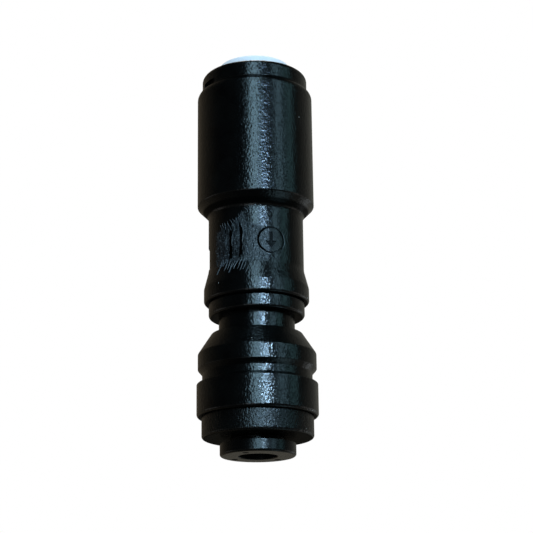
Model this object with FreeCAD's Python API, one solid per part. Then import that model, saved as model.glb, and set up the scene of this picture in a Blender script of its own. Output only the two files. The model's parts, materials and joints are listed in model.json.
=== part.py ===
"""Straight push-in non-return valve for 1/4 inch tube, in millimetres.

The valve stands on the flat end of its outlet collet. Z runs up its axis, so the
tube that feeds it enters from above and flow runs down. Outlines are lists of
corners (radius from the axis, height, optional corner radius) that are turned
about Z. Both tube ends are drawn with the end face at zero and the depth into
the valve as height, then set in place. The inlet's collet is pushed in and the
outlet's collet stands out of its cap a little, as such a valve is found in use.
"""
import FreeCAD
import Part

import math
import os

from FreeCAD import Vector

# Tube and the collet that grips it
TUBE_D = 6.35
COLLET_BORE_PLAY = 0.15
COLLET_HEAD_D = 12.6
COLLET_HEAD_T = 2.0
COLLET_HEAD_ROUND = 0.4
COLLET_MOUTH_ROUND = 0.15
COLLET_WALL = 1.2
COLLET_PLAIN_DEPTH = 4.8
COLLET_TRAVEL = 1.5
OUTLET_COLLET_OUT = 0.9
FINGER_COUNT = 4
FINGER_SLOT_W = 1.0
FINGER_RELIEF = 0.2
FINGER_NECK_L = 2.6
BARB_RISE = 0.5
BARB_SLOPE_L = 0.8
BARB_LAND_L = 1.3
BARB_TIP_L = 0.4
DIMPLE_D = 1.1
DIMPLE_DEPTH = 0.12
DIMPLE_PITCH_D = 9.4
DIMPLE_ANGLES = (-115.0, 46.0, 146.0)

# Steel teeth in the fingers
TOOTH_T = 0.3
TOOTH_BITE = 0.1
TOOTH_EMBEDDED = 1.1
TOOTH_RAKE = 0.45
TOOTH_HALF_ANGLE = 28.0
TOOTH_FROM_TIP = 1.5
TOOTH_CLEARANCE = 0.02

# Outer diameter that the bulb and the end caps line up with
BARREL_D = 20.0

# End caps
THROAT_PLAY = 0.12
CAP_CONE_GAP = 0.1
CAP_CHAMBER_PLAY = 0.15
CAP_PLUG_D = 15.0
CAP_END_GAP = 1.1
OUTLET_FLANGE_INSET = 0.7
OUTLET_FLANGE_D = BARREL_D - 2 * OUTLET_FLANGE_INSET
OUTLET_FLANGE_T = 3.5
OUTLET_FLANGE_ROUND = 0.5
INLET_FLANGE_INSET = 0.85
INLET_FLANGE_D = BARREL_D - 2 * INLET_FLANGE_INSET
INLET_FLANGE_T = 2.8
INLET_FLANGE_ROUND = 0.9
SEAM_GAP_H = 0.75
SEAM_GAP_DEPTH = 0.6
SEAM_GAP_ANGLES = (-72.0, -50.0)
WELD_PLAY = 0.05
JOINT_GAP = 0.05

# Tube seals
SPACER_T = 1.0
SPACER_BORE_PLAY = 0.2
SPACER_RIM_PLAY = 0.08
TUBE_SEAL_SECTION = 2.4
TUBE_SEAL_SQUEEZE = 0.1
GLAND_PLAY = 0.05
SEAL_END_PLAY = 0.03
TUBE_PILOT_L = 2.5
PASSAGE_D = 4.6

# Outlet body, from the bottom up
BIG_BAND_PROUD = 0.125
BIG_BAND_D = BARREL_D + 2 * BIG_BAND_PROUD
BIG_BAND_H = 5.45
BIG_BAND_ROUND = 0.55
BAND_EDGE_ROUND = 0.15
GROOVE_DEPTH = 0.8
GROOVE_FLOOR_D = BARREL_D - 2 * GROOVE_DEPTH
GROOVE_LOWER_SLOPE_H = 0.6
GROOVE_FLOOR_H = 1.15
GROOVE_UPPER_SLOPE_H = 0.85
UPPER_BAND_INSET = 0.075
UPPER_BAND_D = BARREL_D - 2 * UPPER_BAND_INSET
UPPER_BAND_H = 2.5
UPPER_BAND_ROUND = 0.5
CONE_H = 3.4
CONE_TOP_D = 15.4
NECK_D = 12.8
NECK_H = 2.9
COLLAR_D = 16.2
COLLAR_H = 2.45
COLLAR_ROUND = 0.6
SPIGOT_H = 7.3
PLENUM_D = 8.8
PLENUM_H = 6.0

# Main body, from the bottom up
RING_D = 17.8
RING_H = 2.45
RING_ROUND = 0.5
FLARE_H = 3.1
FLARE_TOP_ROUND = 3.0
FLARE_FOOT_ROUND = 1.2
WAIST_D = 16.2
WAIST_H = 9.75
WAIST_FILLET = 1.6
CHAMFER_H = 1.9
BARREL_H = 21.05
BARREL_EDGE_ROUND = 0.3
SHOULDER_ROUND = 1.5
SHOULDER_WALL_SHARE = 0.9
CHAMBER_D = 12.4

# Moulded mark on the waist: a ring round an arrow that points along the flow
MARK_D = 4.7
MARK_LINE_W = 0.35
MARK_DEPTH = 0.15
MARK_ABOVE_FLARE = 3.5
MARK_ANGLE = 18.0
ARROW_L = 2.9
ARROW_HEAD_W = 2.0
ARROW_HEAD_L = 1.3
ARROW_SHAFT_W = 0.6

# Marks that a tool has bitten into the waist: angle and height above the flare's foot
BITE_L = 5.3
BITE_W = 0.5
BITE_DEPTH = 0.45
BITES = ((-31.0, 2.9), (-17.5, 3.4))
FLAT_DEPTH = 0.22
FLAT_H = 4.2
FLAT_ABOVE_FLARE = 2.3

# Valve cartridge
CARTRIDGE_PLAY = 0.1
CARTRIDGE_END_GAP = 0.05
CAGE_H = 8.25
CAGE_RING_W = 0.9
CAGE_BASE_T = 1.6
CAGE_TOP_RING_T = 1.5
CAGE_LEGS = 4
CAGE_LEG_W = 2.2
CAGE_SPOKE_W = 1.2
HUB_D = 5.2
STEM_PLAY = 0.06
SEAT_H = 6.05
SEAT_MOUTH_D = 8.6
SEAT_BORE_D = 6.0
SEAT_SEAL_SECTION = 1.5
SEAT_SEAL_PLAY = 0.03
SEAT_GROOVE_W = 1.9
SEAT_GROOVE_ABOVE = 2.3

# Poppet, its soft ring, its nose and its spring
POPPET_TRAVEL = 2.2
POPPET_HEAD_D = 7.8
POPPET_HEAD_T = 1.15
STEM_D = 1.9
STEM_BELOW_HUB = 0.65
SPRING_BOSS_H = 0.6
SPRING_BOSS_PLAY = 0.2
POPPET_SEAL_SECTION = 1.1
POPPET_SEAL_BORE_D = 5.2
POPPET_SEAL_PLAY = 0.05
SEAT_CONTACT_GAP = 0.05
NOSE_BASE_D = 5.7
NOSE_TIP_D = 1.8
NOSE_H = 2.6
NOSE_PIN_D = 1.6
NOSE_PIN_L = 1.9
NOSE_PIN_PLAY = 0.02
WIRE_D = 0.35
SPRING_MEAN_D = 3.5
SPRING_ACTIVE_TURNS = 4
SPRING_END_PLAY = 0.02

# Depths into either tube end, counted from the end face of a collet that is pushed in
tube_r = TUBE_D / 2
bore_r = tube_r + COLLET_BORE_PLAY / 2
barrel_r = bore_r + COLLET_WALL
finger_bore_r = bore_r + FINGER_RELIEF
barb_r = barrel_r + BARB_RISE
barb_start = COLLET_PLAIN_DEPTH + FINGER_NECK_L
barb_land = barb_start + BARB_SLOPE_L
barb_end = barb_land + BARB_LAND_L
collet_end = barb_end + BARB_TIP_L
throat_r = barrel_r + THROAT_PLAY
cap_chamber_r = barb_r + CAP_CHAMBER_PLAY
cap_cone_start = barb_start - COLLET_TRAVEL - CAP_CONE_GAP
cap_cone_end = cap_cone_start + (cap_chamber_r - throat_r) * BARB_SLOPE_L / BARB_RISE
plug_end = collet_end + CAP_END_GAP
counterbore_floor = plug_end + JOINT_GAP
spacer_start = plug_end + SEAL_END_PLAY
spacer_end = spacer_start + SPACER_T
tube_seal_r = TUBE_SEAL_SECTION / 2
tube_seal_ring_r = tube_r - TUBE_SEAL_SQUEEZE + tube_seal_r
tube_seal_depth = spacer_end + SEAL_END_PLAY + tube_seal_r
gland_r = tube_seal_ring_r + tube_seal_r + GLAND_PLAY
gland_floor = tube_seal_depth + tube_seal_r + SEAL_END_PLAY
tube_stop = gland_floor + TUBE_PILOT_L
counterbore_r = CAP_PLUG_D / 2 + WELD_PLAY
passage_r = PASSAGE_D / 2

# Heights of the outlet body above the valve's lower end
outlet_body_z = OUTLET_COLLET_OUT + COLLET_HEAD_T + OUTLET_FLANGE_T + JOINT_GAP
groove_z = outlet_body_z + BIG_BAND_H
groove_floor_z = groove_z + GROOVE_LOWER_SLOPE_H
groove_wall_z = groove_floor_z + GROOVE_FLOOR_H
upper_band_z = groove_wall_z + GROOVE_UPPER_SLOPE_H
cone_z = upper_band_z + UPPER_BAND_H
neck_z = cone_z + CONE_H
collar_z = neck_z + NECK_H
collar_top_z = collar_z + COLLAR_H
spigot_top_z = collar_top_z + SPIGOT_H
chamber_r = CHAMBER_D / 2
spigot_r = chamber_r - WELD_PLAY

# Heights of the main body
main_body_z = collar_top_z + JOINT_GAP
flare_z = main_body_z + RING_H
waist_z = flare_z + FLARE_H
chamfer_z = waist_z + WAIST_H
barrel_z = chamfer_z + CHAMFER_H
main_body_top_z = barrel_z + BARREL_H
waist_r = WAIST_D / 2
shoulder_round = min(SHOULDER_ROUND, SHOULDER_WALL_SHARE * (BARREL_D / 2 - counterbore_r))
overall_length = main_body_top_z + JOINT_GAP + INLET_FLANGE_T + COLLET_HEAD_T

# Heights of the cartridge
cartridge_r = chamber_r - CARTRIDGE_PLAY
cage_z = spigot_top_z + CARTRIDGE_END_GAP
hub_top_z = cage_z + CAGE_BASE_T
cage_top_z = cage_z + CAGE_H
seat_z = cage_top_z + CARTRIDGE_END_GAP
seat_top_z = seat_z + SEAT_H
chamber_top_z = seat_top_z + CARTRIDGE_END_GAP
seat_mouth_r = SEAT_MOUTH_D / 2
seat_bore_r = SEAT_BORE_D / 2
seat_seal_r = SEAT_SEAL_SECTION / 2
seat_seal_ring_r = chamber_r - SEAT_SEAL_PLAY - seat_seal_r
seat_groove_z = seat_z + SEAT_GROOVE_ABOVE

# The poppet closed: its soft ring lies on the seat's 45 degree cone
poppet_seal_r = POPPET_SEAL_SECTION / 2
poppet_seal_ring_r = POPPET_SEAL_BORE_D / 2 + poppet_seal_r
poppet_seal_z = seat_z + seat_mouth_r - poppet_seal_ring_r - (poppet_seal_r + SEAT_CONTACT_GAP) * math.sqrt(2)
poppet_shelf_z = poppet_seal_z - poppet_seal_r - POPPET_SEAL_PLAY
nose_z = poppet_seal_z + poppet_seal_r + POPPET_SEAL_PLAY
poppet_back_z = poppet_shelf_z - POPPET_HEAD_T
stem_r = STEM_D / 2
stem_end_z = cage_z - STEM_BELOW_HUB
spring_r = SPRING_MEAN_D / 2
wire_r = WIRE_D / 2


def outline_wire(corners):
    """Close a wire through (radius, height[, corner radius]) corners in the XZ plane."""
    count = len(corners)
    stops = []
    for index, corner in enumerate(corners):
        point = Vector(corner[0], 0, corner[1])
        radius = corner[2] if len(corner) > 2 else 0
        if not radius:
            stops.append((point, None, point))
            continue
        before = corners[index - 1]
        after = corners[(index + 1) % count]
        back = (Vector(before[0], 0, before[1]) - point).normalize()
        ahead = (Vector(after[0], 0, after[1]) - point).normalize()
        half_angle = back.getAngle(ahead) / 2
        inward = (back + ahead).normalize()
        reach = radius / math.tan(half_angle)
        middle = point + inward * (radius / math.sin(half_angle) - radius)
        stops.append((point + back * reach, middle, point + ahead * reach))
    edges = []
    for index, (start, middle, end) in enumerate(stops):
        if middle is not None:
            edges.append(Part.Arc(start, middle, end).toShape())
        following = stops[(index + 1) % count][0]
        if end.distanceToPoint(following) > 1e-6:
            edges.append(Part.LineSegment(end, following).toShape())
    return Part.Wire(edges)


def turned(corners, start_angle=0.0, sweep=360.0):
    """Turn a closed outline about Z, over the whole circle or a part of it."""
    face = Part.Face(outline_wire(corners))
    if start_angle:
        face.rotate(Vector(0, 0, 0), Vector(0, 0, 1), start_angle)
    return face.revolve(Vector(0, 0, 0), Vector(0, 0, 1), sweep)


def tube_ring(ring_r, section_r, height):
    """Make a ring of round section, such as a seal."""
    return Part.makeTorus(ring_r, section_r, Vector(0, 0, height))


def turned_to(angle, shape):
    """Turn a shape that was drawn at the front, on -Y, about the axis."""
    shape.rotate(Vector(0, 0, 0), Vector(0, 0, 1), angle)
    return shape


def at_inlet(shape):
    """Set a tube-end piece, drawn from its end face at zero, into the upper end."""
    flipped = shape.copy()
    flipped.rotate(Vector(0, 0, 0), Vector(1, 0, 0), 180)
    flipped.translate(Vector(0, 0, overall_length))
    return flipped


def in_outlet(shape):
    """Set a fixed tube-end piece into the lower end, whose collet stands out a little."""
    raised = shape.copy()
    raised.translate(Vector(0, 0, OUTLET_COLLET_OUT))
    return raised


def tooth_outline(play):
    """Outline of a raked tooth, grown by a play on each side for its pocket."""
    outer_r = finger_bore_r + TOOTH_EMBEDDED + play
    inner_r = tube_r - TOOTH_BITE - play
    base = collet_end - TOOTH_FROM_TIP
    return [
        (inner_r, base + TOOTH_RAKE - play),
        (outer_r, base - play),
        (outer_r, base + TOOTH_T + play),
        (inner_r, base + TOOTH_RAKE + TOOTH_T + play),
    ]


def collet():
    """Push-in collet: head, plain throat and slotted fingers with barbs."""
    body = turned([
        (bore_r, 0, COLLET_MOUTH_ROUND),
        (COLLET_HEAD_D / 2, 0, COLLET_HEAD_ROUND),
        (COLLET_HEAD_D / 2, COLLET_HEAD_T),
        (barrel_r, COLLET_HEAD_T),
        (barrel_r, barb_start),
        (barb_r, barb_land),
        (barb_r, barb_end),
        (barrel_r, collet_end),
        (finger_bore_r, collet_end),
        (finger_bore_r, COLLET_PLAIN_DEPTH),
        (bore_r, COLLET_PLAIN_DEPTH),
    ])
    slot_h = collet_end - COLLET_PLAIN_DEPTH
    for number in range(FINGER_COUNT):
        slot = Part.makeBox(
            FINGER_SLOT_W, barb_r + 1, slot_h + 1,
            Vector(-FINGER_SLOT_W / 2, -barb_r - 1, COLLET_PLAIN_DEPTH),
        )
        body = body.cut(turned_to(number * 360 / FINGER_COUNT, slot))
    body = body.cut(turned(tooth_outline(TOOTH_CLEARANCE)))
    for angle in DIMPLE_ANGLES:
        place = Vector(DIMPLE_PITCH_D / 2, 0, -1)
        dimple = Part.makeCylinder(DIMPLE_D / 2, 1 + DIMPLE_DEPTH, place)
        body = body.cut(turned_to(angle, dimple))
    return body


def collet_teeth():
    """One raked steel tooth for the middle of each finger."""
    first = -90 + 180 / FINGER_COUNT - TOOTH_HALF_ANGLE
    teeth = []
    for number in range(FINGER_COUNT):
        start = first + number * 360 / FINGER_COUNT
        teeth.append(turned(tooth_outline(0), start, 2 * TOOTH_HALF_ANGLE))
    return Part.makeCompound(teeth)


def end_cap(flange_d, flange_t, flange_round):
    """Cap welded into a body's mouth, with the cone that closes the fingers."""
    flange_end = COLLET_HEAD_T + flange_t
    return turned([
        (throat_r, COLLET_HEAD_T),
        (flange_d / 2, COLLET_HEAD_T, flange_round),
        (flange_d / 2, flange_end),
        (CAP_PLUG_D / 2, flange_end),
        (CAP_PLUG_D / 2, plug_end),
        (cap_chamber_r, plug_end),
        (cap_chamber_r, cap_cone_end),
        (throat_r, cap_cone_start),
    ])


def inlet_end_cap():
    """Upper cap, with the open stretch of its weld seam at the left."""
    cap = at_inlet(end_cap(INLET_FLANGE_D, INLET_FLANGE_T, INLET_FLANGE_ROUND))
    floor_r = INLET_FLANGE_D / 2 - SEAM_GAP_DEPTH
    bottom = main_body_top_z - 1
    top = main_body_top_z + JOINT_GAP + SEAM_GAP_H
    first, last = SEAM_GAP_ANGLES
    gap = turned(
        [(floor_r, bottom), (floor_r + 2, bottom), (floor_r + 2, top), (floor_r, top)],
        first - 90, last - first,
    )
    return cap.cut(gap)


def spacer():
    """Ring that backs the tube seal."""
    inner_r = tube_r + SPACER_BORE_PLAY
    outer_r = gland_r - SPACER_RIM_PLAY
    return turned([
        (inner_r, spacer_start),
        (outer_r, spacer_start),
        (outer_r, spacer_end),
        (inner_r, spacer_end),
    ])


def tube_seal():
    """O-ring that seals on the tube."""
    return tube_ring(tube_seal_ring_r, tube_seal_r, tube_seal_depth)


def outlet_body():
    """Lower moulding: bulb with a groove, neck, collar and the spigot that holds the cartridge."""
    plenum_r = PLENUM_D / 2
    plenum_z = spigot_top_z - PLENUM_H
    return turned([
        (counterbore_r, outlet_body_z),
        (BIG_BAND_D / 2, outlet_body_z, BIG_BAND_ROUND),
        (BIG_BAND_D / 2, groove_z, BAND_EDGE_ROUND),
        (GROOVE_FLOOR_D / 2, groove_floor_z),
        (GROOVE_FLOOR_D / 2, groove_wall_z),
        (UPPER_BAND_D / 2, upper_band_z, BAND_EDGE_ROUND),
        (UPPER_BAND_D / 2, cone_z, UPPER_BAND_ROUND),
        (CONE_TOP_D / 2, neck_z, BAND_EDGE_ROUND),
        (NECK_D / 2, neck_z),
        (NECK_D / 2, collar_z),
        (COLLAR_D / 2, collar_z, COLLAR_ROUND),
        (COLLAR_D / 2, collar_top_z, BAND_EDGE_ROUND),
        (spigot_r, collar_top_z),
        (spigot_r, spigot_top_z),
        (plenum_r, spigot_top_z),
        (plenum_r, plenum_z),
        (passage_r, plenum_z - (plenum_r - passage_r)),
        (passage_r, OUTLET_COLLET_OUT + tube_stop),
        (bore_r, OUTLET_COLLET_OUT + tube_stop),
        (bore_r, OUTLET_COLLET_OUT + gland_floor),
        (gland_r, OUTLET_COLLET_OUT + gland_floor),
        (gland_r, OUTLET_COLLET_OUT + counterbore_floor),
        (counterbore_r, OUTLET_COLLET_OUT + counterbore_floor),
    ])


def main_body_blank():
    """Upper moulding before its mark and the tool marks on its waist."""
    top = overall_length
    return turned([
        (chamber_r, main_body_z),
        (RING_D / 2, main_body_z, RING_ROUND),
        (RING_D / 2, flare_z, FLARE_FOOT_ROUND),
        (waist_r, waist_z, FLARE_TOP_ROUND),
        (waist_r, chamfer_z, WAIST_FILLET),
        (BARREL_D / 2, barrel_z, BARREL_EDGE_ROUND),
        (BARREL_D / 2, main_body_top_z, shoulder_round),
        (counterbore_r, main_body_top_z),
        (counterbore_r, top - counterbore_floor),
        (gland_r, top - counterbore_floor),
        (gland_r, top - gland_floor),
        (bore_r, top - gland_floor),
        (bore_r, top - tube_stop),
        (passage_r, top - tube_stop),
        (passage_r, chamber_top_z),
        (chamber_r, chamber_top_z),
    ])


def waist_mark():
    """What the moulded mark takes out of the waist: a ring and an arrow that points down."""
    mark_z = waist_z + MARK_ABOVE_FLARE
    reach = waist_r + 1
    front = Vector(0, -1, 0)
    middle = Vector(0, 0, mark_z)
    ring = Part.makeCylinder(MARK_D / 2, reach, middle, front)
    ring = ring.cut(Part.makeCylinder(MARK_D / 2 - MARK_LINE_W, reach, middle, front))
    tip_z = mark_z - ARROW_L / 2
    head_z = tip_z + ARROW_HEAD_L
    tail_z = tip_z + ARROW_L
    right_side = [
        (0, tip_z),
        (ARROW_HEAD_W / 2, head_z),
        (ARROW_SHAFT_W / 2, head_z),
        (ARROW_SHAFT_W / 2, tail_z),
    ]
    left_side = [(-across, height) for across, height in reversed(right_side)]
    around = [Vector(across, 0, height) for across, height in right_side + left_side[:-1]]
    arrow = Part.Face(Part.makePolygon(around + around[:1])).extrude(front * reach)
    skin_z = mark_z - MARK_D
    skin = Part.makeCylinder(waist_r + 0.5, 2 * MARK_D, Vector(0, 0, skin_z))
    skin = skin.cut(Part.makeCylinder(waist_r - MARK_DEPTH, 2 * MARK_D, Vector(0, 0, skin_z)))
    return turned_to(MARK_ANGLE, ring.fuse(arrow).common(skin))


def tool_bite(angle, above_waist_foot):
    """A boat-shaped bite, as deep as a hard jaw's edge has pressed in."""
    cutter_r = (BITE_L ** 2 / 4 + BITE_DEPTH ** 2) / (2 * BITE_DEPTH)
    centre = Vector(-BITE_W / 2, -(waist_r - BITE_DEPTH + cutter_r), waist_z + above_waist_foot)
    return turned_to(angle, Part.makeCylinder(cutter_r, BITE_W, centre, Vector(1, 0, 0)))


def pressed_flat():
    """The side of the waist that a jaw has pressed flat, at the left."""
    width = 2 * waist_r
    corner = Vector(-waist_r - 1, -waist_r, waist_z + FLAT_ABOVE_FLARE - FLAT_H / 2)
    return Part.makeBox(1 + FLAT_DEPTH, width, FLAT_H, corner)


def main_body():
    """Upper moulding with its mark and what a tool has done to the waist."""
    body = main_body_blank().cut(waist_mark())
    for angle, height in BITES:
        body = body.cut(tool_bite(angle, height))
    return body.cut(pressed_flat())


def cartridge_seat():
    """Upstream half of the cartridge, with the seat's cone and the seal's groove."""
    cone_top_z = seat_z + seat_mouth_r - seat_bore_r
    groove_r = seat_seal_ring_r - seat_seal_r - SEAT_SEAL_PLAY
    groove_low_z = seat_groove_z
    groove_high_z = seat_groove_z + SEAT_GROOVE_W
    return turned([
        (seat_mouth_r, seat_z),
        (cartridge_r, seat_z),
        (cartridge_r, groove_low_z),
        (groove_r, groove_low_z),
        (groove_r, groove_high_z),
        (cartridge_r, groove_high_z),
        (cartridge_r, seat_top_z, 0.3),
        (seat_bore_r, seat_top_z, 0.4),
        (seat_bore_r, cone_top_z),
    ])


def cartridge_seal():
    """O-ring between the cartridge and the chamber's wall."""
    return tube_ring(seat_seal_ring_r, seat_seal_r, seat_groove_z + SEAT_GROOVE_W / 2)


def cartridge_cage():
    """Downstream half of the cartridge: base ring, hub, spokes, legs and top ring."""
    ring_inner_r = cartridge_r - CAGE_RING_W
    top_ring_z = cage_top_z - CAGE_TOP_RING_T
    base_ring = turned([
        (ring_inner_r, cage_z),
        (cartridge_r, cage_z),
        (cartridge_r, hub_top_z),
        (ring_inner_r, hub_top_z),
    ])
    top_ring = turned([
        (ring_inner_r, top_ring_z),
        (cartridge_r, top_ring_z),
        (cartridge_r, cage_top_z),
        (ring_inner_r, cage_top_z),
    ])
    guide_r = stem_r + STEM_PLAY
    hub = turned([
        (guide_r, cage_z),
        (HUB_D / 2, cage_z),
        (HUB_D / 2, hub_top_z),
        (guide_r, hub_top_z),
    ])
    cage = base_ring.fuse([top_ring, hub])
    leg_ring = turned([
        (ring_inner_r, cage_z),
        (cartridge_r, cage_z),
        (cartridge_r, cage_top_z),
        (ring_inner_r, cage_top_z),
    ])
    hub_reach = (HUB_D / 2 + guide_r) / 2
    spoke_l = ring_inner_r - hub_reach + CAGE_RING_W / 2
    for number in range(CAGE_LEGS):
        angle = number * 360 / CAGE_LEGS
        spoke = Part.makeBox(
            CAGE_SPOKE_W, spoke_l, CAGE_BASE_T,
            Vector(-CAGE_SPOKE_W / 2, -hub_reach - spoke_l, cage_z),
        )
        leg = Part.makeBox(
            CAGE_LEG_W, cartridge_r, CAGE_H,
            Vector(-CAGE_LEG_W / 2, -cartridge_r, cage_z),
        )
        cage = cage.fuse([turned_to(angle, spoke), turned_to(angle, leg).common(leg_ring)])
    return cage.removeSplitter()


def poppet():
    """Head that carries the soft ring, with the stem that runs in the cage's hub."""
    boss_r = spring_r - wire_r - SPRING_BOSS_PLAY
    hole_r = NOSE_PIN_D / 2 + NOSE_PIN_PLAY
    hole_floor_z = nose_z - NOSE_PIN_L - NOSE_PIN_PLAY
    land_r = POPPET_SEAL_BORE_D / 2 - POPPET_SEAL_PLAY
    return turned([
        (0, stem_end_z),
        (stem_r, stem_end_z, 0.3),
        (stem_r, poppet_back_z - SPRING_BOSS_H),
        (boss_r, poppet_back_z - SPRING_BOSS_H),
        (boss_r, poppet_back_z),
        (POPPET_HEAD_D / 2, poppet_back_z, 0.3),
        (POPPET_HEAD_D / 2, poppet_shelf_z),
        (land_r, poppet_shelf_z),
        (land_r, nose_z - POPPET_SEAL_PLAY),
        (hole_r, nose_z - POPPET_SEAL_PLAY),
        (hole_r, hole_floor_z),
        (0, hole_floor_z),
    ])


def poppet_seal():
    """Soft ring that closes on the seat's cone."""
    return tube_ring(poppet_seal_ring_r, poppet_seal_r, poppet_seal_z)


def poppet_nose():
    """Pointed plug whose pin is pressed into the poppet and clamps the soft ring."""
    pin_r = NOSE_PIN_D / 2
    return turned([
        (0, nose_z - NOSE_PIN_L),
        (pin_r, nose_z - NOSE_PIN_L),
        (pin_r, nose_z),
        (NOSE_BASE_D / 2, nose_z),
        (NOSE_TIP_D / 2, nose_z + NOSE_H, 0.4),
        (0, nose_z + NOSE_H),
    ])


def valve_spring():
    """Compression spring with a closed turn at each end, between the hub and the poppet."""
    low = hub_top_z + SPRING_END_PLAY + wire_r
    high = poppet_back_z - SPRING_END_PLAY - wire_r
    closed_rise = WIRE_D * 1.03
    active_rise = (high - low - 2 * closed_rise) / SPRING_ACTIVE_TURNS
    turns = SPRING_ACTIVE_TURNS + 2
    per_turn = 16
    points = []
    for step in range(turns * per_turn + 1):
        turn = step / per_turn
        closed_low = min(turn, 1)
        active = min(max(turn - 1, 0), SPRING_ACTIVE_TURNS)
        closed_high = max(turn - 1 - SPRING_ACTIVE_TURNS, 0)
        height = low + (closed_low + closed_high) * closed_rise + active * active_rise
        angle = turn * 2 * math.pi
        points.append(Vector(spring_r * math.cos(angle), spring_r * math.sin(angle), height))
    curve = Part.BSplineCurve()
    curve.interpolate(points)
    start = points[0]
    along = curve.tangent(curve.FirstParameter)[0]
    section = Part.Wire(Part.makeCircle(wire_r, start, along))
    return Part.Wire(curve.toShape()).makePipeShell([section], True, True)


def pieces():
    """Every piece of the valve by its name, from the inlet down to the outlet."""
    outlet_cap = end_cap(OUTLET_FLANGE_D, OUTLET_FLANGE_T, OUTLET_FLANGE_ROUND)
    return {
        "inlet_collet": at_inlet(collet()),
        "inlet_collet_teeth": at_inlet(collet_teeth()),
        "inlet_end_cap": inlet_end_cap(),
        "inlet_spacer": at_inlet(spacer()),
        "inlet_o_ring": at_inlet(tube_seal()),
        "main_body": main_body(),
        "cartridge_seat": cartridge_seat(),
        "cartridge_o_ring": cartridge_seal(),
        "poppet_nose": poppet_nose(),
        "poppet_seal": poppet_seal(),
        "poppet": poppet(),
        "valve_spring": valve_spring(),
        "cartridge_cage": cartridge_cage(),
        "outlet_body": outlet_body(),
        "outlet_o_ring": in_outlet(tube_seal()),
        "outlet_spacer": in_outlet(spacer()),
        "outlet_end_cap": in_outlet(outlet_cap),
        "outlet_collet_teeth": collet_teeth(),
        "outlet_collet": collet(),
    }


def main():
    """Write one file for each piece."""
    os.makedirs("parts", exist_ok=True)
    for name, shape in pieces().items():
        shape.exportStep(f"parts/{name}.step")


main()
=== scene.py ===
"""Looks of a straight push-in non-return valve, dressed around its fixed frame.

The valve stands on the end face of its outlet collet, with Z up its axis and the
moulded flow mark towards -Y. Lengths are in metres unless a name says otherwise. A
place on a side wall is an angle about the axis, counted from -Y towards +X, and a
height above the outlet collet's face.
"""

from __future__ import annotations

import json
import logging
import math
import random
from collections.abc import Sequence
from dataclasses import dataclass
from enum import Enum
from typing import Any

import bmesh
import bpy
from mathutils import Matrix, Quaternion, Vector
from mathutils.bvhtree import BVHTree

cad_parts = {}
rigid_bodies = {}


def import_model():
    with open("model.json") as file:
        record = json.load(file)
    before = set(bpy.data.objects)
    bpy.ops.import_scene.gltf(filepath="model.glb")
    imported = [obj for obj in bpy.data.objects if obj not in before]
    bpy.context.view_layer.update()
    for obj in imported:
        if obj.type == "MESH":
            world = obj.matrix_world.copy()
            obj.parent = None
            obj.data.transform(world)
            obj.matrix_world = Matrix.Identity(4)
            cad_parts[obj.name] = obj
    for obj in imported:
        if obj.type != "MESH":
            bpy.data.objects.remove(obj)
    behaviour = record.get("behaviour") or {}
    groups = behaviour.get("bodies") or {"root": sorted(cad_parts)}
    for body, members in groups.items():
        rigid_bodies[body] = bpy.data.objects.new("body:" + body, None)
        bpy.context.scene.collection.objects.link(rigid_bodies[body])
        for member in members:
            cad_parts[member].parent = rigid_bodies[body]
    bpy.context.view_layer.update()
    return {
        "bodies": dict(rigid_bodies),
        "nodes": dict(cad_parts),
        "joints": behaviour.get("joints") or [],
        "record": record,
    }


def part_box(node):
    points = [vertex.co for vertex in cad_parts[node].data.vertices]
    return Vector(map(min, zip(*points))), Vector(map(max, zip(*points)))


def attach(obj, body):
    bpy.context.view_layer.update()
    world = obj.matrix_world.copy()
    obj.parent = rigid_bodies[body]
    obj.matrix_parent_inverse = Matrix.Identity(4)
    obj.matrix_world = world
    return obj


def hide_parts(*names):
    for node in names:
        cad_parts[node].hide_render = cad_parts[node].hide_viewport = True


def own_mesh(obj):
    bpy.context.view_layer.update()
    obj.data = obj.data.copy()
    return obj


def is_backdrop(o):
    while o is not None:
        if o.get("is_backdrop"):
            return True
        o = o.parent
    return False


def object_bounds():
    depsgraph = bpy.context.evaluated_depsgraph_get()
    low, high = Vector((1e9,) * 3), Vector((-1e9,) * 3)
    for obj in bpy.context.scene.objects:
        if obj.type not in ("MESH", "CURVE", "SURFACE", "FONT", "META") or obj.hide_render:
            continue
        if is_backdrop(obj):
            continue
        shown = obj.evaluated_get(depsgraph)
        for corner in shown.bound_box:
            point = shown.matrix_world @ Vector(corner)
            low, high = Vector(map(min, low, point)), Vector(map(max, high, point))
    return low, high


LOG = logging.getLogger("valve")

MM = 0.001
PHOTO_SIDE_PX = 533
SENSOR_MM = 36.0
HOUSING = "housing"
WAIST_RADIUS = 8.1 * MM
MARK_ACROSS = 2.55 * MM
MARK_HEIGHT = 34.85 * MM

Colour = tuple[float, float, float]
Range = tuple[float, float]
Mesh = bmesh.types.BMesh
Nodes = dict[str, bpy.types.Object]
Ring = list[bmesh.types.BMVert]
Socket = bpy.types.NodeSocket


class Slot(Enum):
    """The material slots that the record gives the pieces."""

    BLACK_ACETAL = "black_acetal"
    WHITE_ACETAL = "white_acetal"
    NATURAL_ACETAL = "natural_acetal"
    RUBBER = "nitrile_rubber"
    STEEL = "stainless_steel"


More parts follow.
